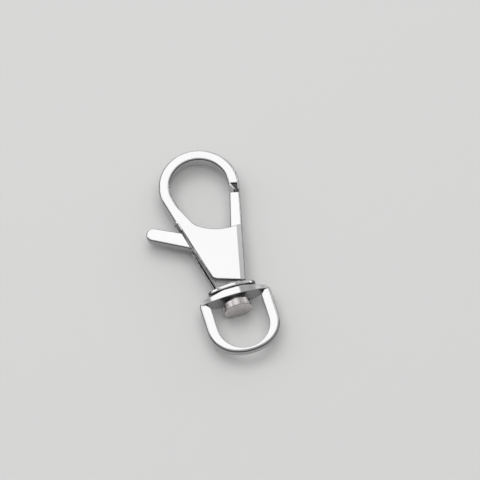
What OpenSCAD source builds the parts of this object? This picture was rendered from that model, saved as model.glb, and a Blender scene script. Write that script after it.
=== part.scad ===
// Swivel snap hook, lying on its back. The inside end of the bow is at the origin,
// +Y runs along the swivel axis towards the hook loop and +Z is the front face's normal.

/* [Hook loop] */
// Outer radius of the loop
loop_r = 6.65; // [6.4:0.05:7]
// Height of the loop's centre above the collar
loop_y = 18.6; // [18.3:0.1:19.2]
// Width of the loop's band in the front view
band_w = 1.8; // [1.6:0.1:2]
// Thickness of the loop, front to back
band_t = 2.5; // [2.3:0.1:2.8]
// Radius on the loop's long edges
band_round = 0.35; // [0.2:0.05:0.45]
// Straight length of the nose past the loop's round part
nose_len = 1; // [0.8:0.1:1.2]
// Depth at which the pocket in the nose's front starts
pocket_d = 0.3; // [0.2:0.05:0.6]
// Length of that pocket
pocket_len = 1.2; // [1:0.1:1.3]
// Width of the nose at its end
nose_w = 0.95; // [0.9:0.05:1.3]
// Depth of the pocket at the nose's end
notch_d = 1.25; // [1:0.05:1.6]

/* [Body] */
// Width of the body at the collar
neck_w = 5; // [4.8:0.1:5.4]
// Thickness of the body at the collar
neck_t = 4.1; // [3.9:0.1:4.3]
// Height at which the body has thinned down to the loop's thickness
wedge_y = 13.3; // [13:0.1:13.8]
// Lowest point of the throat, where the loop meets the body
throat_y = 9.8; // [9.5:0.1:10.2]
// Width of the bevel on the body's closed side
spine_bevel = 0.85; // [0.5:0.05:1]
// Width of the steep strip along the outside of that bevel
spine_strip = 0.25; // [0.1:0.05:0.4]
// Radius of the cheek's corner between the throat and the gate arm
cheek_r = 0.7; // [0.4:0.1:0.9]
// Width of the bevel on the body's slotted side
slot_bevel = 0.4; // [0.2:0.05:0.6]
// Radius of the hollow scoop between each face and the collar
scoop_r = 1.9; // [1.7:0.1:2.1]
// Slant of the scoop in the front view
scoop_slant = 20; // [16:1:22]
// Radius of the face's corner, where the scoop turns up along the slotted side
turn_r = 1.3; // [1:0.1:1.6]
// Height of that corner's centre along the flank
turn_y = 2.3; // [2.1:0.1:2.5]

/* [Slot and gate] */
// Width of the slot, front to back
slot_t = 1.8; // [1.7:0.05:1.9]
// Thickness of the gate lever
gate_t = 1.6; // [1.5:0.05:1.65]
// Width of the gate arm at its tip
arm_w = 1.7; // [1.5:0.1:1.9]
// Gap between the gate's tip and the nose
tip_gap = 0.15; // [0.1:0.05:0.3]
// Distance from the pivot to the end of the thumb lever
thumb_len = 13.5; // [13:0.1:14]
// Width of the thumb lever at its end
thumb_w = 2.3; // [2:0.1:2.6]
// Direction of the thumb lever, from the pivot
thumb_deg = 152; // [150:1:154]
// Radius on the gate lever's long edges
lever_round = 0.25; // [0.1:0.05:0.35]

/* [Pivot and spring] */
// Diameter of the pivot pin
pin_d = 1.5; // [1.3:0.1:1.6]
// Distance of the pivot from the swivel axis
pivot_x = 1.3; // [1.1:0.1:1.5]
// Height of the pivot above the collar
pivot_y = 6.6; // [6.4:0.1:6.8]
// Radius of the lever's hub round the pivot
hub_r = 1.4; // [1.2:0.1:1.6]
// Diameter of the spring's wire
spring_wire = 0.25; // [0.2:0.05:0.3]
// Outside diameter of the spring
spring_d = 1.4; // [1.2:0.1:1.5]
// Turns of the spring
spring_turns = 6; // [5:1:8]

/* [Swivel] */
// Long axis of the oval collar
collar_w = 8; // [7.8:0.1:8.4]
// Thickness of the collar along the swivel axis
collar_h = 0.75; // [0.6:0.05:0.9]
// Depth of the collar and of the cross plate, front to back
oval_t = 4; // [3.8:0.1:4.1]
// Gap between the collar and the cross plate
swivel_gap = 0.15; // [0.1:0.05:0.2]
// Thickness of the cross plate along the swivel axis
plate_h = 1.25; // [1.1:0.05:1.4]
// Radius on the rims of the collar and the cross plate
oval_round = 0.2; // [0.1:0.05:0.3]
// Diameter of the stud's shank
shank_d = 2.4; // [2.2:0.1:2.6]
// Diameter of the stud's head
head_d = 4.8; // [4.6:0.1:5]
// Thickness of the stud's head
head_h = 1.25; // [1.1:0.05:1.4]
// Radius on the rims of the stud's head
head_round = 0.12; // [0.05:0.01:0.2]
// Gap between the cross plate and the stud's head
head_gap = 0.85; // [0.6:0.05:1]

/* [Bow] */
// Outside width of the bow
bow_w = 11.9; // [11.6:0.1:12.3]
// Width of the bow's legs in the front view
leg_w = 1.7; // [1.5:0.05:1.9]
// Width of the bow at its end in the front view
end_w = 0.75; // [0.65:0.05:0.95]
// Thickness of the bow, front to back
bow_t = 1.7; // [1.6:0.1:2]
// Radius on the bow's outside edges
bow_round = 0.4; // [0.2:0.05:0.5]
// Radius on the bow's inside edges
eye_round = 0.15; // [0.1:0.05:0.3]
// Length of the eye inside the bow, from its end to the cross plate
eye_len = 8.95; // [8.7:0.05:9.3]

/* [Hidden] */
$fn = 96;
run_fit = 0.05;
inner_r = loop_r - band_w;
mid_r = loop_r - band_w / 2;
// Angle of each flank from the swivel axis, so that it runs tangent into the loop
taper = asin(loop_r / norm([neck_w / 2, loop_y])) - atan(neck_w / 2 / loop_y);
flank_len = sqrt(pow(neck_w / 2, 2) + pow(loop_y, 2) - pow(loop_r, 2));
face_slope = atan((neck_t - band_t) / 2 / wedge_y);
throat_r = 8.5;
throat_x = 2.9;
limb_x = 3.14;
limb_y = 12.75;
limb_deg = 24.6;
stud_len = 2.4;
mouth_x = shank_d / 2 + 0.5;
slot_floor = stud_len + 0.5;
pin_blind = 0.4;
corner_r = 0.4;
thumb_way = [cos(thumb_deg), sin(thumb_deg)];
spring_len = 2.85;
collar_y = eye_len + plate_h + swivel_gap + collar_h;
plate_top = collar_y - collar_h - swivel_gap;
head_top = eye_len - head_gap;
eye_r = bow_w / 2 - leg_w;
leg_top = eye_len + 0.55;
arm_y = pivot_y + 1.7;

// Half the body's width at a height above the collar
function flank_x(y) = neck_w / 2 + y * tan(taper);

// Raises what is drawn from the collar upwards to its place on the swivel axis
module at_collar() {
    translate([0, collar_y, 0])
        children();
}

// A frame on the right flank: X points out of the body and Y up along the flank
module on_flank() {
    translate([neck_w / 2, 0, 0])
        rotate([0, 0, -taper])
            children();
}

// A frame on the nose's end face, with the same directions as the flank's
module on_nose() {
    on_flank()
        translate([0, flank_len - nose_len, 0])
            children();
}

// A rectangle with round corners, centred
module round_rect(w, h, r) {
    square([w - 2 * r, h], center = true);
    square([w, h - 2 * r], center = true);
    for (x = [-1, 1], y = [-1, 1])
        translate([x * (w / 2 - r), y * (h / 2 - r)])
            circle(r, $fn = 24);
}

// A flat disc with round rims on both faces
module puck(r, t, edge) {
    rotate_extrude()
        intersection() {
            round_rect(2 * r, t, edge);
            translate([0, -t])
                square([2 * r, 2 * t]);
        }
}

// A bar between two pucks, which fairs into both
module puck_bar(p, p_r, q, q_r, t, edge) {
    hull() {
        translate([p[0], p[1], 0])
            puck(p_r, t, edge, $fn = 40);
        translate([q[0], q[1], 0])
            puck(q_r, t, edge, $fn = 40);
    }
}

// Two discs and the straight tangents that join them
module tapered_bar(p, p_r, q, q_r) {
    run = q - p;
    lean = atan2(run[1], run[0]);
    half = acos((p_r - q_r) / norm(run));
    translate(p)
        circle(p_r);
    translate(q)
        circle(q_r);
    polygon([
        p + p_r * [cos(lean + half), sin(lean + half)],
        p + p_r * [cos(lean - half), sin(lean - half)],
        q + q_r * [cos(lean - half), sin(lean - half)],
        q + q_r * [cos(lean + half), sin(lean + half)]
    ]);
}

// A straight length of the loop's band, running down from where the flank is tangent
module straight_band(length) {
    rotate([0, 0, -taper])
        translate([mid_r, 0, 0])
            rotate([90, 0, 0])
                linear_extrude(length)
                    round_rect(band_w, band_t, band_round);
}

// The loop's band, from the nose over the top and down the slotted flank
module loop_band() {
    translate([0, loop_y, 0]) {
        rotate([0, 0, -taper])
            rotate_extrude(angle = 180 + 2 * taper)
                translate([mid_r, 0])
                    round_rect(band_w, band_t, band_round);
        straight_band(nose_len);
        mirror([1, 0, 0])
            straight_band(flank_len - wedge_y / cos(taper) + band_w);
    }
}

// The eye's outline: the inner limb, a round corner and the throat's wide floor
module eye_outline() {
    offset(r = 2.4)
        offset(delta = -2.4)
            intersection() {
                translate([throat_x, throat_y + throat_r])
                    circle(throat_r);
                translate([-limb_x, limb_y])
                    rotate([0, 0, limb_deg])
                        translate([0, -2 * throat_r])
                            square(4 * throat_r);
            }
}

// The body and the limb that carries the loop, in the front view. The cheek is rounded
// where the throat meets the right flank
module body_outline() {
    lip_y = throat_y + 0.3;
    difference() {
        polygon([
            [-neck_w / 2, 0],
            [neck_w / 2, 0],
            [flank_x(lip_y), lip_y],
            [-inner_r, loop_y - band_w],
            [1.5 * band_round - flank_x(loop_y - band_w), loop_y - band_w],
            [1.5 * band_round - flank_x(wedge_y), wedge_y],
            [-flank_x(wedge_y), wedge_y]
        ]);
        eye_outline();
        translate([flank_x(lip_y), lip_y])
            rotate([0, 0, -taper])
                difference() {
                    translate([-cheek_r, -cheek_r])
                        square(2 * cheek_r);
                    translate([-cheek_r, -cheek_r])
                        circle(cheek_r);
                }
    }
}

// The body in the side view: deepest at the collar, thinning to the loop
module side_outline() {
    polygon([
        [0, -neck_t / 2],
        [wedge_y, -band_t / 2],
        [loop_y, -band_t / 2],
        [loop_y, band_t / 2],
        [wedge_y, band_t / 2],
        [0, neck_t / 2]
    ]);
}

// A long cutter that bevels one edge of the sloping front face by w across and h down
module bevel_cutter(w, h) {
    translate([0, 0, neck_t / 2])
        rotate([-90 - face_slope, 0, 0])
            translate([0, 0, -2])
                linear_extrude(wedge_y + 2)
                    polygon([[-w, 0], [1, h * (1 + w) / w], [1, -1], [-w, -1]]);
}

// The bevels along both edges of the front face
module flank_bevels() {
    on_flank() {
        bevel_cutter(spine_bevel, 0.55 * spine_bevel);
        bevel_cutter(spine_strip, 3 * spine_strip);
    }
    mirror([1, 0, 0])
        on_flank()
            bevel_cutter(slot_bevel, slot_bevel);
}

// The hollow where the front face runs out to the collar. Its end turns up along the
// slotted flank, which leaves the face a round corner
module scoop() {
    sweep = 90 - scoop_slant - taper;
    lift = 0.55 * scoop_r;
    reach = turn_r + sqrt(pow(scoop_r, 2) - pow(lift, 2));
    mirror([1, 0, 0])
        on_flank()
            translate([-slot_bevel - turn_r, turn_y, neck_t / 2 + lift])
                rotate([0, 0, -sweep]) {
                    rotate_extrude(angle = sweep)
                        translate([reach, 0])
                            circle(scoop_r);
                    translate([reach, 0, 0])
                        rotate([90, 0, 0])
                            cylinder(r = scoop_r, h = 3 * neck_w);
                }
}

module body_block() {
    difference() {
        intersection() {
            linear_extrude(2 * neck_t, center = true)
                body_outline();
            rotate([90, 0, 90])
                linear_extrude(4 * loop_r, center = true)
                    side_outline();
        }
        for (face = [0, 1])
            mirror([0, 0, face]) {
                flank_bevels();
                scoop();
            }
    }
}

// An oval plate with round rims, its top face at y = 0
module oval_plate(w, h) {
    translate([0, -h / 2, 0])
        rotate([90, 0, 0])
            scale([w / oval_t, 1, 1])
                puck(oval_t / 2, h, oval_round);
}

// The slot in the front view: open along the left flank, over the throat and at the arm
module slot_outline() {
    tapered_bar([pivot_x, pivot_y], hub_r + 0.1, [flank_x(arm_y), arm_y], 0.6);
    polygon([
        [-2 * loop_r, 0.1],
        [-mouth_x, 0.1],
        [-mouth_x, slot_floor],
        [pivot_x, slot_floor],
        [pivot_x, pivot_y],
        [2 * loop_r, arm_y],
        [2 * loop_r, wedge_y],
        [-limb_x, wedge_y - 0.6],
        [-2 * loop_r, wedge_y + 3]
    ]);
}

// The pocket in the nose's front, which deepens towards the gate between two thin lips,
// and the nose's slanted inner corner
module nose_cut() {
    lip = 0.3;
    top = band_t / 2 - pocket_d;
    on_nose() {
        intersection() {
            translate([-2 * band_w, 0, 0])
                rotate([90, 0, 90])
                    linear_extrude(3 * band_w)
                        polygon([
                            [pocket_len, band_t],
                            [pocket_len, top],
                            [0, band_t / 2 - notch_d],
                            [-1, band_t / 2 - notch_d],
                            [-1, band_t]
                        ]);
            linear_extrude(2 * band_t, center = true)
                polygon([
                    [-lip, -1],
                    [-lip, pocket_len + 1],
                    [lip - band_w, pocket_len + 1],
                    [lip - band_w, pocket_len],
                    [lip - nose_w, 0],
                    [lip - nose_w, -1]
                ]);
        }
        linear_extrude(2 * band_t, center = true)
            polygon([[-band_w - 1, -1], [-nose_w, -1], [-nose_w, 0], [-band_w - 0.1, pocket_len]]);
    }
}

module hook_body() {
    color([0.86, 0.86, 0.87])
        at_collar()
            difference() {
                union() {
                    loop_band();
                    body_block();
                    oval_plate(collar_w, collar_h);
                }
                linear_extrude(slot_t, center = true)
                    slot_outline();
                nose_cut();
                translate([pivot_x, pivot_y, -neck_t])
                    cylinder(d = pin_d, h = neck_t + slot_t / 2 + pin_blind);
                rotate([-90, 0, 0])
                    translate([0, 0, -2 * collar_h])
                        cylinder(d = shank_d, h = stud_len + 2 * collar_h);
            }
}

// The gate arm, flush with the right flank, with a rounded tip under the nose
module gate_arm() {
    tip_y = -tip_gap - corner_r;
    on_nose()
        hull()
            for (p = [
                [corner_r - arm_w, tip_y],
                [-corner_r, tip_y],
                [-corner_r, -8],
                [corner_r - arm_w - 0.3, -8]
            ])
                translate([p[0], p[1], 0])
                    puck(corner_r, gate_t, lever_round, $fn = 32);
}

// The arm, the hub it turns on and the thumb lever, in one flat piece
module gate_lever() {
    pivot = [pivot_x, pivot_y];
    thumb_end = pivot + (thumb_len - thumb_w / 2) * thumb_way;
    color([0.84, 0.84, 0.85])
        at_collar()
            difference() {
                union() {
                    gate_arm();
                    puck_bar(pivot, hub_r, [flank_x(arm_y) - 0.6, arm_y], 0.5, gate_t, lever_round);
                    puck_bar(pivot, hub_r, thumb_end, thumb_w / 2, gate_t, lever_round);
                }
                translate([pivot_x, pivot_y, 0])
                    cylinder(d = pin_d + 2 * run_fit, h = 2 * gate_t, center = true);
            }
}

module pivot_pin() {
    back = band_t / 2 + (neck_t - band_t) / 2 * (1 - pivot_y / wedge_y);
    color([0.7, 0.7, 0.72])
        at_collar()
            translate([pivot_x, pivot_y, -back])
                cylinder(d = pin_d, h = back + slot_t / 2 + pin_blind);
}

// Points of one ring of the spring's wire at angle a along the coil
function spring_ring(a, z) = [
    for (b = [0:45:315])
        let (r = (spring_d - spring_wire) / 2 + spring_wire / 2 * cos(b))
            [r * cos(a), r * sin(a), z + spring_wire / 2 * sin(b)]
];

module gate_spring() {
    color([0.55, 0.55, 0.57])
        at_collar()
            translate([-mouth_x + spring_d / 2 + 0.05, slot_floor, 0])
                rotate([-90, 0, 0])
                    coil(spring_len);
}

// A round wire wound from z = 0 up to the given height
module coil(height) {
    step = 18;
    last = spring_turns * 360 / step;
    rise = height - spring_wire;
    points = [for (i = [0:last]) each spring_ring(i * step, spring_wire / 2 + rise * i / last)];
    sides = [
        for (i = [0:last - 1], k = [0:7])
            let (n = (k + 1) % 8)
                [i * 8 + k, i * 8 + n, (i + 1) * 8 + n, (i + 1) * 8 + k]
    ];
    ends = [[for (k = [7:-1:0]) k], [for (k = [0:7]) last * 8 + k]];
    polyhedron(points, concat(sides, ends));
}

// The bow's outside: round shoulders, a flatter end and round tops on the legs
module bow_outside() {
    shoulder_r = 4.8;
    end_r = 8;
    top_r = 0.7;
    a = bow_w / 2 - shoulder_r;
    q = sqrt(pow(end_r - shoulder_r, 2) - pow(a, 2));
    shoulder_y = end_r - end_w - q;
    half = atan(a / q);
    hull() {
        for (x = [-a, a])
            translate([x, shoulder_y, 0])
                puck(shoulder_r, bow_t, bow_round, $fn = 64);
        translate([0, shoulder_y + q, 0])
            intersection() {
                puck(end_r, bow_t, bow_round, $fn = 120);
                linear_extrude(2 * bow_t, center = true)
                    polygon([[0, 0], 2 * end_r * [-sin(half), -cos(half)], 2 * end_r * [sin(half), -cos(half)]]);
            }
        for (x = [-1, 1])
            translate([x * (bow_w / 2 - top_r), leg_top - top_r, 0])
                puck(top_r, bow_t, bow_round, $fn = 32);
    }
}

// The section that rounds the edge of a hole whose wall is at x = 0, under a face at y = 0
module rim_section() {
    difference() {
        translate([-0.1, -eye_round])
            square([eye_round + 0.1, eye_round + 0.1]);
        translate([eye_round, -eye_round])
            circle(eye_round, $fn = 24);
    }
}

// The eye a strap or ring goes through, with its rims rounded on both faces
module bow_eye() {
    translate([0, eye_r, 0])
        cylinder(r = eye_r, h = 2 * bow_t, center = true);
    translate([-eye_r, eye_r, -bow_t])
        cube([2 * eye_r, eye_len - eye_r, 2 * bow_t]);
    for (face = [0, 1])
        mirror([0, 0, face])
            translate([0, eye_r, bow_t / 2]) {
                rotate([0, 0, 180])
                    rotate_extrude(angle = 180)
                        translate([eye_r, 0])
                            rim_section();
                for (side = [0, 1])
                    mirror([side, 0, 0])
                        translate([eye_r, eye_len - eye_r, 0])
                            rotate([90, 0, 0])
                                linear_extrude(eye_len - eye_r)
                                    rim_section();
            }
}

// The bow, whose full thickness ends on each leg in a slant, where the thinner arm comes in
module bow() {
    difference() {
        bow_outside();
        linear_extrude(2 * bow_t, center = true)
            polygon([
                [-bow_w, plate_top + 1],
                [0.5 - bow_w / 2, leg_top],
                [-eye_r, eye_len - 0.8],
                [eye_r, eye_len - 0.8],
                [bow_w / 2 - 0.5, leg_top],
                [bow_w, plate_top + 1]
            ]);
    }
}

// The cross plate: a pointed oval from leg to leg, as thick as the legs where it meets
// them, with its top sloping down to their tops
module cross_plate() {
    reach = (bow_w - end_w) / 2;
    swell = (oval_t - bow_t) / 2;
    r = (reach * reach + swell * swell) / (2 * swell);
    intersection() {
        translate([0, plate_top, 0])
            rotate([90, 0, 0])
                linear_extrude(plate_h)
                    intersection() {
                        translate([0, r - oval_t / 2])
                            circle(r, $fn = 360);
                        translate([0, oval_t / 2 - r])
                            circle(r, $fn = 360);
                    }
        linear_extrude(2 * oval_t, center = true)
            polygon([
                [-reach, 0],
                [reach, 0],
                [reach, leg_top],
                [shank_d / 2 + 0.5, plate_top],
                [-shank_d / 2 - 0.5, plate_top],
                [-reach, leg_top]
            ]);
    }
}

module swivel_bail() {
    color([0.86, 0.86, 0.87])
        difference() {
            union() {
                difference() {
                    bow();
                    bow_eye();
                }
                cross_plate();
            }
            translate([0, eye_len, 0])
                rotate([90, 0, 0])
                    cylinder(d = shank_d + 2 * run_fit, h = 4 * plate_h, center = true);
        }
}

module swivel_stud() {
    color([0.62, 0.6, 0.59])
        rotate([-90, 0, 0]) {
            translate([0, 0, head_top - head_h / 2])
                puck(head_d / 2, head_h, head_round);
            translate([0, 0, head_top])
                cylinder(d = shank_d, h = collar_y + stud_len - head_top);
        }
}

hook_body();
gate_lever();
pivot_pin();
gate_spring();
swivel_bail();
swivel_stud();
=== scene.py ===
"""Polished swivel snap hook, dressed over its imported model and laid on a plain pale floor."""

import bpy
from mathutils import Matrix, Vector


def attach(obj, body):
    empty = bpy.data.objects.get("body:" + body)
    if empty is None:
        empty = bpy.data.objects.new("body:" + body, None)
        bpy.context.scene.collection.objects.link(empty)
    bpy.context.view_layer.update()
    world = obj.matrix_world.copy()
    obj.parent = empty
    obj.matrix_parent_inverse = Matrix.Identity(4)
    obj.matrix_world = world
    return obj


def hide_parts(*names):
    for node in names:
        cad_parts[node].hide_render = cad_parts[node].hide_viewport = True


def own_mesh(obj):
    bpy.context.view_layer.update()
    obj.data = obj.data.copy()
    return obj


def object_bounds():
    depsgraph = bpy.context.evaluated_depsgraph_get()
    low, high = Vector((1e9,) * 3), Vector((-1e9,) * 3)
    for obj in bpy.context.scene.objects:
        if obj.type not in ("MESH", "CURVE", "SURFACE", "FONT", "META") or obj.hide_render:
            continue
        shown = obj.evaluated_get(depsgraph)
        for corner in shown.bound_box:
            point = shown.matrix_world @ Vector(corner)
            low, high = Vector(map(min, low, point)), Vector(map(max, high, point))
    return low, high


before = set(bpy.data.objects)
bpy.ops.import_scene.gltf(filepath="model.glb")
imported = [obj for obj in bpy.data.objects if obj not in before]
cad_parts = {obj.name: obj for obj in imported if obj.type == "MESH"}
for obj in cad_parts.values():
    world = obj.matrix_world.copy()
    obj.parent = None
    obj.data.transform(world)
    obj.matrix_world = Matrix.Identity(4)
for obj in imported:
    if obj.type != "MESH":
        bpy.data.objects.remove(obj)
CAD_BOX = [list(corner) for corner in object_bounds()]

import math

import bpy
from bpy.props import FloatProperty, FloatVectorProperty, PointerProperty
from mathutils import Vector

bl_info = {
    "name": "Swivel snap hook",
    "version": (1, 0, 0),
    "blender": (4, 5, 0),
    "location": "3D View > Sidebar > Snap Hook",
    "description": "Rounds, plates and lights a cast swivel snap hook",
    "category": "Object",
}

MM = 0.001

# Cosine of the tilt up to which a face counts as level
LEVEL = 0.9999
# Distance under which vertices of a solid's triangles are one
MERGE = 0.001 * MM

# The camera: what it aims at, the picture's width in pixels, the sensor's width in millimetres
# and the nearest and farthest that it sees
AIM = Vector((3.805, 18.831, 0)) * MM
IMAGE_WIDTH = 480
SENSOR_WIDTH = 36
CLIP = (0.01, 20)

# Noises on the plating and on turned steel, each with its cells per metre and its detail
BUFF_LINES = (9000, 3)
DRAG_MARKS = (2600, 1)
HAZE_PATCHES = (420, 4)
CASTING_WAVES = (260, 1)
LATHE_MARKS = (7000, 3)
LATHE_PATCHES = (900, 4)
# Scale of a noise along its grain, which draws it out into lines, and the lathe marks' slant
GRAIN = 0.08
LATHE_GRAIN = 0.12
LATHE_TURN = (0, 0.5, 0)
# What the buffing lines add to the relief and to the roughness of the plating
LINE_SHARE = 0.02
# What the patches add to the roughness of turned steel
LATHE_HAZE = 0.16
# Rings that the lathe leaves: their scale, waviness, detail and share of the relief
RING_SCALE = 2600
RING_WAVE = 2.5
RING_DETAIL = 2
RING_SHARE = 0.4

# A normal's part along Z over which drag marks fade out, faces and bevels start and walls end
DRAG_SLOPE = (0.9, 0.985)
# FACE_SLOPE and WALL_SLOPE set where the painted shade on walls and edges starts and ends
FACE_SLOPE = (0.66, 0.8)
WALL_SLOPE = (0.22, 0.42)
# Reach of the shade in slots, and how open a place is where the shade is full and where it ends
RECESS_REACH = 1.2 * MM
RECESS_FADE = (0.15, 0.7)
# Rays that soft edges and shade in slots are worked out from
SAMPLES = 8
# Colour of the painted shade that the metals fall to in slots, on walls and along edges
DARK = (0.02, 0.02, 0.022, 1)

# The floor: its radius in metres, its corners and its surface
FLOOR_RADIUS = 2
FLOOR_CORNERS = 64
FLOOR_ROUGHNESS = 0.9
FLOOR_GLOSS = 0.1

# What the lamps aim at. Each lamp has its name, its place from there in metres, its size in
# metres, its power in watts and whether the metals mirror it.
MIDDLE = Vector((0, 18, 0)) * MM
LAMPS = (
    ("Key_softbox", (-0.09, 0.45, 0.80), (0.62, 0.56), 0.865, True),
    ("Right_strip", (0.85, 0.385, 0.25), (0.5, 0.06), 0.3, True),
    ("Left_strip", (-0.85, 0.38, 0.2), (0.5, 0.06), 0.12, True),
    ("Left_softbox", (-0.72, 0.42, 0.55), (0.3, 0.5), 0.45, True),
    ("Fill", (0.0, 0.2, 1.0), (1.2, 1.2), 6.8, False),
)

# The sky runs from its near side to its far side. X and Y say how much each axis counts in that.
SKY_X = 0.2
SKY_Y = 0.85
# Its tones: at the near side, at two places between, at the far side and overhead
SKY_NEAR = (0.2, 0.2, 0.202, 1)
SKY_BETWEEN = ((0.45, (0.27, 0.27, 0.27, 1)), (0.7, (0.5, 0.5, 0.5, 1)))
SKY_FAR = (0.85, 0.85, 0.85, 1)
SKY_TOP = (0.4, 0.4, 0.4, 1)
# A direction's part along Z where overhead starts and where it is full
TOP_SLOPE = (0.7, 0.9)
# A direction's part along Z where the sky has its full strength, and its strength at the horizon
HORIZON = 0.3
HORIZON_STRENGTH = 0.1
# Clouds that make the strength uneven: their noise, the range of it that is used and their depth
CLOUDS = (7, 1)
CLOUD_RANGE = (0.35, 0.65)
CLOUD_DEPTH = 0.5


# Settings


class SNAPHOOK_PG_edges(bpy.types.PropertyGroup):
    """How far polishing has rounded each piece's edges."""

    body: FloatProperty(
        name="Body edges",
        description="Radius that polishing leaves on the cast body's edges",
        default=0.2 * MM,
        unit="LENGTH",
        precision=5,
    )
    lever: FloatProperty(
        name="Lever edges",
        description="Radius on the gate lever's edges",
        default=0.12 * MM,
        unit="LENGTH",
        precision=5,
    )
    bail: FloatProperty(
        name="Bail edges",
        description="Radius on the bail's edges",
        default=0.18 * MM,
        unit="LENGTH",
        precision=5,
    )
    smooth: FloatProperty(
        name="Smooth angle",
        description="Angle between faces up to which they shade as one curved surface",
        default=math.radians(20),
        subtype="ANGLE",
    )


class SNAPHOOK_PG_finish(bpy.types.PropertyGroup):
    """Colours and polish of the metals."""

    plate: FloatVectorProperty(
        name="Plating",
        description="Colour of the bright plating on the body and the bail",
        default=(0.82, 0.82, 0.825),
        subtype="COLOR",
        min=0,
        max=1,
    )
    lever_plate: FloatVectorProperty(
        name="Lever plating",
        description="Colour of the bright plating on the gate lever",
        default=(0.835, 0.835, 0.84),
        subtype="COLOR",
        min=0,
        max=1,
    )
    stud: FloatVectorProperty(
        name="Stud",
        description="Colour of the stud's bare turned steel",
        default=(0.77, 0.73, 0.725),
        subtype="COLOR",
        min=0,
        max=1,
    )
    wire: FloatVectorProperty(
        name="Spring wire",
        description="Colour of the drawn steel wire",
        default=(0.45, 0.45, 0.46),
        subtype="COLOR",
        min=0,
        max=1,
    )
    polish: FloatProperty(
        name="Plating roughness",
        description="Roughness of the polished plating",
        default=0.06,
        min=0,
        max=1,
        subtype="FACTOR",
    )


class SNAPHOOK_PG_stage(bpy.types.PropertyGroup):
    """Camera, floor and light."""

    azimuth: FloatProperty(
        name="Camera azimuth",
        description="Direction of the camera round the hook",
        default=math.radians(-16.7),
        subtype="ANGLE",
    )
    elevation: FloatProperty(
        name="Camera elevation",
        description="Height of the camera above the horizon",
        default=math.radians(65),
        subtype="ANGLE",
    )
    distance: FloatProperty(
        name="Camera distance",
        description="Distance from the camera to the middle of the picture",
        default=0.4,
        unit="LENGTH",
    )
    pixels_per_mm: FloatProperty(
        name="Pixels per millimetre",
        description="Scale of the picture at the point the camera aims at",
        default=6.1,
    )
    floor: FloatVectorProperty(
        name="Floor",
        description="Colour of the plain floor",
        default=(0.72, 0.72, 0.715),
        subtype="COLOR",
        min=0,
        max=1,
    )


# Materials


def new_group(name, inputs, outputs):
    """An empty shader node group with float inputs, as {name: default}, and float outputs."""
    group = bpy.data.node_groups.new(name, "ShaderNodeTree")
    for label, default in inputs.items():
        socket = group.interface.new_socket(label, in_out="INPUT", socket_type="NodeSocketFloat")
        socket.default_value = default
    for label in outputs:
        group.interface.new_socket(label, in_out="OUTPUT", socket_type="NodeSocketFloat")
    return group, group.nodes.new("NodeGroupInput"), group.nodes.new("NodeGroupOutput")


def object_coordinates(tree, stretch=(1, 1, 1), turn=(0, 0, 0)):
    """Object coordinates, turned and stretched along each axis for grain that runs one way."""
    coordinates = tree.nodes.new("ShaderNodeTexCoord")
    mapping = tree.nodes.new("ShaderNodeMapping")
    mapping.inputs["Scale"].default_value = stretch
    mapping.inputs["Rotation"].default_value = turn
    tree.links.new(coordinates.outputs["Object"], mapping.inputs["Vector"])
    return mapping.outputs["Vector"]


def noise(tree, vector, scale, detail):
    """Fractal noise from 0 to 1 about 0.5."""
    texture = tree.nodes.new("ShaderNodeTexNoise")
    texture.inputs["Scale"].default_value = scale
    texture.inputs["Detail"].default_value = detail
    tree.links.new(vector, texture.inputs["Vector"])
    return texture.outputs["Fac"]


def math_node(tree, operation, *values):
    """A Math node on up to three values or sockets."""
    node = tree.nodes.new("ShaderNodeMath")
    node.operation = operation
    for socket, value in zip(node.inputs, values):
        if isinstance(value, (int, float)):
            socket.default_value = value
        else:
            tree.links.new(value, socket)
    return node.outputs[0]


def map_range(tree, value, low, high, to_low=0.0, to_high=1.0):
    """A value spread from one range to another, clamped."""
    node = tree.nodes.new("ShaderNodeMapRange")
    node.inputs["From Min"].default_value = low
    node.inputs["From Max"].default_value = high
    node.inputs["To Min"].default_value = to_low
    node.inputs["To Max"].default_value = to_high
    tree.links.new(value, node.inputs["Value"])
    return node.outputs["Result"]


def separate(tree, vector):
    """The outputs X, Y and Z of a vector."""
    split = tree.nodes.new("ShaderNodeSeparateXYZ")
    tree.links.new(vector, split.inputs["Vector"])
    return split.outputs


def soft_normal(tree):
    """A Bevel node, whose Normal rounds the edges in the shading."""
    soft = tree.nodes.new("ShaderNodeBevel")
    soft.samples = SAMPLES
    return soft


def polish_group(name, grain):
    """Bright plating with faint buffing lines along the grain, casting waves and hazy patches.

    Broader drag marks show only on sloping faces.
    """
    group, entry, result = new_group(
        name, {"Roughness": 0.06, "Haze": 0.04, "Drag": 2.5}, ("Roughness", "Height", "Tint")
    )
    lines = noise(group, object_coordinates(group, grain), *BUFF_LINES)
    drag = noise(group, object_coordinates(group, grain), *DRAG_MARKS)
    patches = noise(group, object_coordinates(group), *HAZE_PATCHES)
    waves = noise(group, object_coordinates(group), *CASTING_WAVES)

    haze = math_node(
        group, "MULTIPLY_ADD", patches, entry.outputs["Haze"], entry.outputs["Roughness"]
    )
    fine = math_node(group, "MULTIPLY", lines, LINE_SHARE)
    group.links.new(math_node(group, "ADD", haze, fine), result.inputs["Roughness"])

    height = math_node(group, "MULTIPLY_ADD", lines, LINE_SHARE, waves)
    furrows = math_node(group, "MULTIPLY", drag, entry.outputs["Drag"])
    coordinates = group.nodes.new("ShaderNodeTexCoord")
    upright = math_node(group, "ABSOLUTE", separate(group, coordinates.outputs["Normal"])["Z"])
    slope = map_range(group, upright, *DRAG_SLOPE, 1, 0)
    furrows = math_node(group, "MULTIPLY", furrows, slope)
    group.links.new(math_node(group, "ADD", height, furrows), result.inputs["Height"])
    group.links.new(patches, result.inputs["Tint"])
    return group


def body_polish():
    """Plating buffed along the hook."""
    return polish_group("Body_polish", (1, GRAIN, 1))


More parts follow.
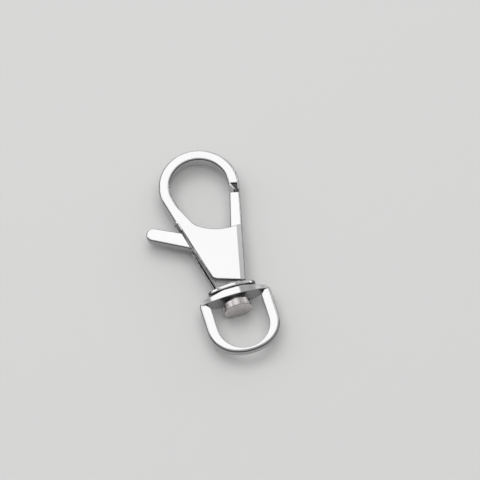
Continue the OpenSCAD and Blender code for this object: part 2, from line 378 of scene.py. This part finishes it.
def bail_polish():
    """Plating buffed across the bail."""
    return polish_group("Bail_polish", (GRAIN, 1, 1))


def turned_steel():
    """Bare turned steel: fine rings round the swivel axis with straight drag marks across."""
    group, entry, result = new_group(
        "Turned_steel", {"Roughness": 0.3}, ("Roughness", "Height", "Tint")
    )
    rings = group.nodes.new("ShaderNodeTexWave")
    rings.wave_type = "RINGS"
    rings.rings_direction = "Y"
    rings.inputs["Scale"].default_value = RING_SCALE
    rings.inputs["Distortion"].default_value = RING_WAVE
    rings.inputs["Detail"].default_value = RING_DETAIL
    group.links.new(object_coordinates(group, (1, 0, 1)), rings.inputs["Vector"])
    drag = noise(group, object_coordinates(group, (LATHE_GRAIN, 1, 1), LATHE_TURN), *LATHE_MARKS)
    patches = noise(group, object_coordinates(group), *LATHE_PATCHES)
    height = math_node(group, "MULTIPLY_ADD", rings.outputs["Fac"], RING_SHARE, drag)
    haze = math_node(group, "MULTIPLY_ADD", patches, LATHE_HAZE, entry.outputs["Roughness"])
    group.links.new(haze, result.inputs["Roughness"])
    group.links.new(height, result.inputs["Height"])
    group.links.new(drag, result.inputs["Tint"])
    return group


def recess_shade():
    """Painted shade: a mask that is 1 on open surfaces and falls towards Floor deep in slots and
    gaps.
    """
    group, entry, result = new_group("Recess_shade", {"Floor": 0.4}, ("Mask",))
    occlusion = group.nodes.new("ShaderNodeAmbientOcclusion")
    occlusion.samples = SAMPLES
    occlusion.inputs["Distance"].default_value = RECESS_REACH
    shade = map_range(group, occlusion.outputs["AO"], *RECESS_FADE)
    group.links.new(entry.outputs["Floor"], shade.node.inputs["To Min"])
    group.links.new(shade, result.inputs["Mask"])
    return group


def painted_wall_shade():
    """Painted shade: a factor that is 1 on the faces and bevels, lower on the walls and lowest
    along the edges, darkening the colour in place of the dark that walls and edges reflect.
    """
    group, entry, result = new_group(
        "Painted_wall_shade", {"Walls": 0.7, "Edges": 0.2, "Radius": 0.1 * MM}, ("Painted_shade",)
    )
    walls, edges = entry.outputs["Walls"], entry.outputs["Edges"]
    soft = soft_normal(group)
    group.links.new(entry.outputs["Radius"], soft.inputs["Radius"])
    own = group.nodes.new("ShaderNodeVectorTransform")
    own.vector_type = "NORMAL"
    own.convert_from, own.convert_to = "WORLD", "OBJECT"
    group.links.new(soft.outputs["Normal"], own.inputs["Vector"])
    upright = math_node(group, "ABSOLUTE", separate(group, own.outputs["Vector"])["Z"])
    face = map_range(group, upright, *FACE_SLOPE)
    wall = map_range(group, upright, *WALL_SLOPE, 1, 0)
    on_face = math_node(group, "MULTIPLY", face, math_node(group, "SUBTRACT", 1.0, edges))
    on_wall = math_node(group, "MULTIPLY", wall, math_node(group, "SUBTRACT", walls, edges))
    gain = math_node(group, "ADD", on_face, on_wall)
    group.links.new(math_node(group, "ADD", edges, gain), result.inputs["Painted_shade"])
    return group


GROUPS = {}


def place_group(tree, build, **values):
    """A node of the group that build makes, built on first use, with its own input values."""
    if build not in GROUPS:
        GROUPS[build] = build()
    node = tree.nodes.new("ShaderNodeGroup")
    node.node_tree = GROUPS[build]
    for label, value in values.items():
        node.inputs[label].default_value = value
    return node


def metal(
    name, color, surface, roughness, relief, tone, recess=None, edge=0.0, walls=1.0, line=1.0
):
    """A metal from its surface group.

    relief is its bump depth in metres, tone how far its colour varies and recess what is left of
    it deep in slots under painted shade. Edges are rounded to the radius edge, and walls and line
    are the share of the colour left on walls and along edges under painted shade, which stands in
    for the dark that they reflect.
    """
    material = bpy.data.materials.new(name)
    material.use_nodes = True
    tree = material.node_tree
    shader = tree.nodes["Principled BSDF"]
    shader.inputs["Metallic"].default_value = 1.0
    marks = place_group(tree, surface, Roughness=roughness)
    tree.links.new(marks.outputs["Roughness"], shader.inputs["Roughness"])
    bump = tree.nodes.new("ShaderNodeBump")
    bump.inputs["Distance"].default_value = relief
    tree.links.new(marks.outputs["Height"], bump.inputs["Height"])
    tree.links.new(bump.outputs["Normal"], shader.inputs["Normal"])
    if edge:
        soft = soft_normal(tree)
        soft.inputs["Radius"].default_value = edge
        tree.links.new(soft.outputs["Normal"], bump.inputs["Normal"])
    mask = map_range(tree, marks.outputs["Tint"], 0, 1, 1 - tone)
    # Painted shade deep in slots and gaps
    if recess is not None:
        shade = place_group(tree, recess_shade, Floor=recess)
        mask = math_node(tree, "MULTIPLY", mask, shade.outputs["Mask"])
    # Painted shade on walls and along edges, in place of the dark that they reflect
    if walls < 1:
        wall_shade = place_group(tree, painted_wall_shade, Walls=walls, Edges=line, Radius=edge)
        mask = math_node(tree, "MULTIPLY", mask, wall_shade.outputs["Painted_shade"])
    mix = tree.nodes.new("ShaderNodeMix")
    mix.data_type = "RGBA"
    mix.inputs["A"].default_value = DARK
    mix.inputs["B"].default_value = (*color, 1)
    tree.links.new(mask, mix.inputs["Factor"])
    tree.links.new(mix.outputs["Result"], shader.inputs["Base Color"])
    return material


# Mesh tools


def deselect():
    """Leaves object mode with nothing selected."""
    if bpy.context.object and bpy.context.object.mode != "OBJECT":
        bpy.ops.object.mode_set(mode="OBJECT")
    bpy.ops.object.select_all(action="DESELECT")


def activate(piece):
    """Makes one object the only one selected, and active."""
    deselect()
    piece.select_set(True)
    bpy.context.view_layer.objects.active = piece


def finish_piece(piece, name, body, nodes, material):
    """Names a piece, gives it its material and lets it ride in place of its nodes."""
    piece.name = name
    piece.data.name = name
    piece.data.materials.clear()
    piece.data.materials.append(material)
    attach(piece, body)
    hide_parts(*nodes)


def level_faces(mesh, least):
    """Keeps the front and back faces level up to their edges.

    A corner there takes the face's own normal, where the cosine between the two is over least.
    """
    level = {}
    for polygon in mesh.polygons:
        if abs(polygon.normal.z) > LEVEL:
            level.update(dict.fromkeys(polygon.vertices, polygon.normal.copy()))
    normals = [corner.vector.copy() for corner in mesh.corner_normals]
    for corner, normal in zip(mesh.loops, normals):
        face = level.get(corner.vertex_index)
        if face is not None and normal.dot(face) > least:
            normal[:] = face
    mesh.normals_split_custom_set(normals)


def smooth_copy(node, angle):
    """A copy of a CAD node's mesh, merged, whose faces shade as one up to that angle."""
    piece = bpy.data.objects.new(node + "_copy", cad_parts[node].data.copy())
    bpy.context.scene.collection.objects.link(piece)
    activate(piece)
    bpy.ops.object.mode_set(mode="EDIT")
    bpy.ops.mesh.customdata_custom_splitnormals_clear()
    bpy.ops.mesh.select_all(action="SELECT")
    bpy.ops.mesh.remove_doubles(threshold=MERGE)
    bpy.ops.object.mode_set(mode="OBJECT")
    bpy.ops.object.shade_smooth_by_angle(angle=angle)
    level_faces(piece.data, math.cos(angle))
    return piece


# Pieces


class SNAPHOOK_OT_body(bpy.types.Operator):
    """Rounds the cast body's edges and plates it"""

    bl_idname = "snaphook.body"
    bl_label = "Cast body"

    def execute(self, context):
        edges, finish = context.scene.snaphook_edges, context.scene.snaphook_finish
        piece = smooth_copy("hook_body", edges.smooth)
        material = metal(
            "Bright_plating", finish.plate, body_polish, finish.polish,
            relief=0.004 * MM, tone=0.04, recess=0.85, edge=edges.body, walls=0.62, line=0.12,
        )
        finish_piece(piece, "Cast_body", "hook", ["hook_body"], material)
        return {"FINISHED"}


class SNAPHOOK_OT_lever(bpy.types.Operator):
    """Rounds the gate lever's edges and plates it"""

    bl_idname = "snaphook.lever"
    bl_label = "Gate lever"

    def execute(self, context):
        edges, finish = context.scene.snaphook_edges, context.scene.snaphook_finish
        piece = smooth_copy("gate_lever", edges.smooth)
        material = metal(
            "Lever_plating", finish.lever_plate, body_polish, finish.polish,
            relief=0.002 * MM, tone=0.05, recess=0.3, edge=edges.lever, walls=0.5, line=0.04,
        )
        finish_piece(piece, "Gate_lever", "gate", ["gate_lever"], material)
        return {"FINISHED"}


class SNAPHOOK_OT_bail(bpy.types.Operator):
    """Rounds the bail's edges and plates it"""

    bl_idname = "snaphook.bail"
    bl_label = "Swivel bail"

    def execute(self, context):
        edges, finish = context.scene.snaphook_edges, context.scene.snaphook_finish
        piece = smooth_copy("swivel_bail", edges.smooth)
        material = metal(
            "Bail_plating", finish.plate, bail_polish, finish.polish,
            relief=0.004 * MM, tone=0.04, recess=0.15, edge=edges.bail, walls=0.62, line=0.12,
        )
        finish_piece(piece, "Swivel_bail", "bail", ["swivel_bail"], material)
        return {"FINISHED"}


class SNAPHOOK_OT_stud(bpy.types.Operator):
    """Smooths the stud's shading and gives it a turned finish"""

    bl_idname = "snaphook.stud"
    bl_label = "Swivel stud"

    def execute(self, context):
        edges, finish = context.scene.snaphook_edges, context.scene.snaphook_finish
        piece = smooth_copy("swivel_stud", edges.smooth)
        material = metal(
            "Turned_stud", finish.stud, turned_steel,
            roughness=0.2, relief=0.006 * MM, tone=0.2, recess=0.15,
        )
        finish_piece(piece, "Swivel_stud", "hook", ["swivel_stud"], material)
        return {"FINISHED"}


class SNAPHOOK_OT_pin(bpy.types.Operator):
    """Gives the pivot pin its turned steel"""

    bl_idname = "snaphook.pin"
    bl_label = "Pivot pin"

    def execute(self, context):
        finish = context.scene.snaphook_finish
        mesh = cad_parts["pivot_pin"].data
        mesh.materials.clear()
        mesh.materials.append(metal(
            "Pin_steel", finish.stud, turned_steel, roughness=0.25, relief=0.006 * MM, tone=0.15,
        ))
        return {"FINISHED"}


class SNAPHOOK_OT_spring(bpy.types.Operator):
    """Smooths the gate spring and gives it drawn steel wire"""

    bl_idname = "snaphook.spring"
    bl_label = "Gate spring"

    def execute(self, context):
        edges, finish = context.scene.snaphook_edges, context.scene.snaphook_finish
        piece = smooth_copy("gate_spring", edges.smooth)
        material = metal(
            "Spring_wire", finish.wire, turned_steel,
            roughness=0.3, relief=0.004 * MM, tone=0.2, recess=0.4,
        )
        finish_piece(piece, "Gate_spring", "hook", ["gate_spring"], material)
        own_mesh(piece)
        return {"FINISHED"}


# Stage


def area_light(name, place, size, power):
    """A soft rectangular lamp, placed from the hook's middle and aimed at it."""
    lamp = bpy.data.lights.new(name, "AREA")
    lamp.shape = "RECTANGLE"
    lamp.size, lamp.size_y = size
    lamp.energy = power
    holder = bpy.data.objects.new(name, lamp)
    bpy.context.scene.collection.objects.link(holder)
    holder.location = MIDDLE + Vector(place)
    holder.rotation_euler = (MIDDLE - holder.location).to_track_quat("-Z", "Y").to_euler()
    return holder


def soft_sky():
    """A grey world, pale beyond the loop and darker on the camera's side.

    It is dark at the horizon, uneven above it like a room, and plain overhead.
    """
    world = bpy.data.worlds.new("Soft_sky")
    bpy.context.scene.world = world
    world.use_nodes = True
    tree = world.node_tree
    background = tree.nodes["Background"]
    direction = tree.nodes.new("ShaderNodeTexCoord").outputs["Generated"]
    axes = separate(tree, direction)

    depth = math_node(tree, "MULTIPLY", axes["Y"], SKY_Y)
    side = math_node(tree, "MULTIPLY_ADD", axes["X"], SKY_X, depth)
    around = tree.nodes.new("ShaderNodeValToRGB")
    around.color_ramp.interpolation = "EASE"
    around.color_ramp.elements[0].color = SKY_NEAR
    around.color_ramp.elements[1].color = SKY_FAR
    for place, tone in SKY_BETWEEN:
        around.color_ramp.elements.new(place).color = tone
    tree.links.new(math_node(tree, "MULTIPLY_ADD", side, 0.5, 0.5), around.inputs["Fac"])

    overhead = map_range(tree, axes["Z"], *TOP_SLOPE)
    overhead.node.interpolation_type = "SMOOTHSTEP"
    mix = tree.nodes.new("ShaderNodeMix")
    mix.data_type = "RGBA"
    mix.inputs["B"].default_value = SKY_TOP
    tree.links.new(overhead, mix.inputs["Factor"])
    tree.links.new(around.outputs["Color"], mix.inputs["A"])
    tree.links.new(mix.outputs["Result"], background.inputs["Color"])

    horizon = map_range(tree, axes["Z"], 0, HORIZON, HORIZON_STRENGTH)
    clouds = noise(tree, direction, *CLOUDS)
    cloud = map_range(tree, clouds, *CLOUD_RANGE, -CLOUD_DEPTH, CLOUD_DEPTH)
    around_only = math_node(tree, "SUBTRACT", 1.0, overhead)
    uneven = math_node(tree, "ADD", math_node(tree, "MULTIPLY", cloud, around_only), 1.0)
    tree.links.new(math_node(tree, "MULTIPLY", horizon, uneven), background.inputs["Strength"])


def aim_camera(scene, stage):
    """A camera round the hook, with the lens that gives the picture its scale."""
    away = math.cos(stage.elevation)
    back = Vector((
        math.sin(stage.azimuth) * away,
        -math.cos(stage.azimuth) * away,
        math.sin(stage.elevation),
    ))
    lens = bpy.data.cameras.new("Camera")
    lens.sensor_width = SENSOR_WIDTH
    lens.lens = SENSOR_WIDTH * stage.pixels_per_mm / MM * stage.distance / IMAGE_WIDTH
    lens.clip_start, lens.clip_end = CLIP
    camera = bpy.data.objects.new("Camera", lens)
    scene.collection.objects.link(camera)
    camera.location = AIM + back * stage.distance
    camera.rotation_euler = (-back).to_track_quat("-Z", "Y").to_euler()
    scene.camera = camera


def lay_floor(stage):
    """A plain floor that the hook lies on."""
    deselect()
    bpy.ops.mesh.primitive_circle_add(
        vertices=FLOOR_CORNERS,
        radius=FLOOR_RADIUS,
        fill_type="NGON",
        location=(0, 0, CAD_BOX[0][2]),
    )
    floor = bpy.context.object
    floor.name = "Floor"
    plain = bpy.data.materials.new("Plain_floor")
    plain.use_nodes = True
    shader = plain.node_tree.nodes["Principled BSDF"]
    shader.inputs["Base Color"].default_value = (*stage.floor, 1)
    shader.inputs["Roughness"].default_value = FLOOR_ROUGHNESS
    shader.inputs["Specular IOR Level"].default_value = FLOOR_GLOSS
    floor.data.materials.append(plain)


class SNAPHOOK_OT_stage(bpy.types.Operator):
    """Sets the camera, the floor and the light"""

    bl_idname = "snaphook.stage"
    bl_label = "Camera, floor and light"

    def execute(self, context):
        scene, stage = context.scene, context.scene.snaphook_stage
        scene.view_settings.view_transform = "Standard"
        aim_camera(scene, stage)
        lay_floor(stage)
        soft_sky()
        for name, place, size, power, mirrored in LAMPS:
            area_light(name, place, size, power).visible_glossy = mirrored
        return {"FINISHED"}


class SNAPHOOK_PT_panel(bpy.types.Panel):
    """Sizes, finishes and steps of the snap hook"""

    bl_label = "Snap Hook"
    bl_idname = "SNAPHOOK_PT_panel"
    bl_space_type = "VIEW_3D"
    bl_region_type = "UI"
    bl_category = "Snap Hook"

    def draw(self, context):
        column = self.layout.column()
        for group in (
            context.scene.snaphook_edges,
            context.scene.snaphook_finish,
            context.scene.snaphook_stage,
        ):
            for key in group.__annotations__:
                column.prop(group, key)
        for operator in OPERATORS:
            column.operator(operator.bl_idname)


OPERATORS = (
    SNAPHOOK_OT_stage,
    SNAPHOOK_OT_body,
    SNAPHOOK_OT_lever,
    SNAPHOOK_OT_bail,
    SNAPHOOK_OT_stud,
    SNAPHOOK_OT_pin,
    SNAPHOOK_OT_spring,
)
GROUP_CLASSES = {
    "snaphook_edges": SNAPHOOK_PG_edges,
    "snaphook_finish": SNAPHOOK_PG_finish,
    "snaphook_stage": SNAPHOOK_PG_stage,
}


def register():
    """Adds the settings, the operators and the panel."""
    for name, group in GROUP_CLASSES.items():
        bpy.utils.register_class(group)
        setattr(bpy.types.Scene, name, PointerProperty(type=group))
    for operator in OPERATORS:
        bpy.utils.register_class(operator)
    bpy.utils.register_class(SNAPHOOK_PT_panel)


def unregister():
    """Takes them away again, in reverse."""
    bpy.utils.unregister_class(SNAPHOOK_PT_panel)
    for operator in reversed(OPERATORS):
        bpy.utils.unregister_class(operator)
    for name, group in GROUP_CLASSES.items():
        delattr(bpy.types.Scene, name)
        bpy.utils.unregister_class(group)


def main():
    """Dresses the hook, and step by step."""
    register()
    for operator in OPERATORS:
        family, action = operator.bl_idname.split(".")
        getattr(getattr(bpy.ops, family), action)()
    deselect()


if __name__ == "__main__":
    main()
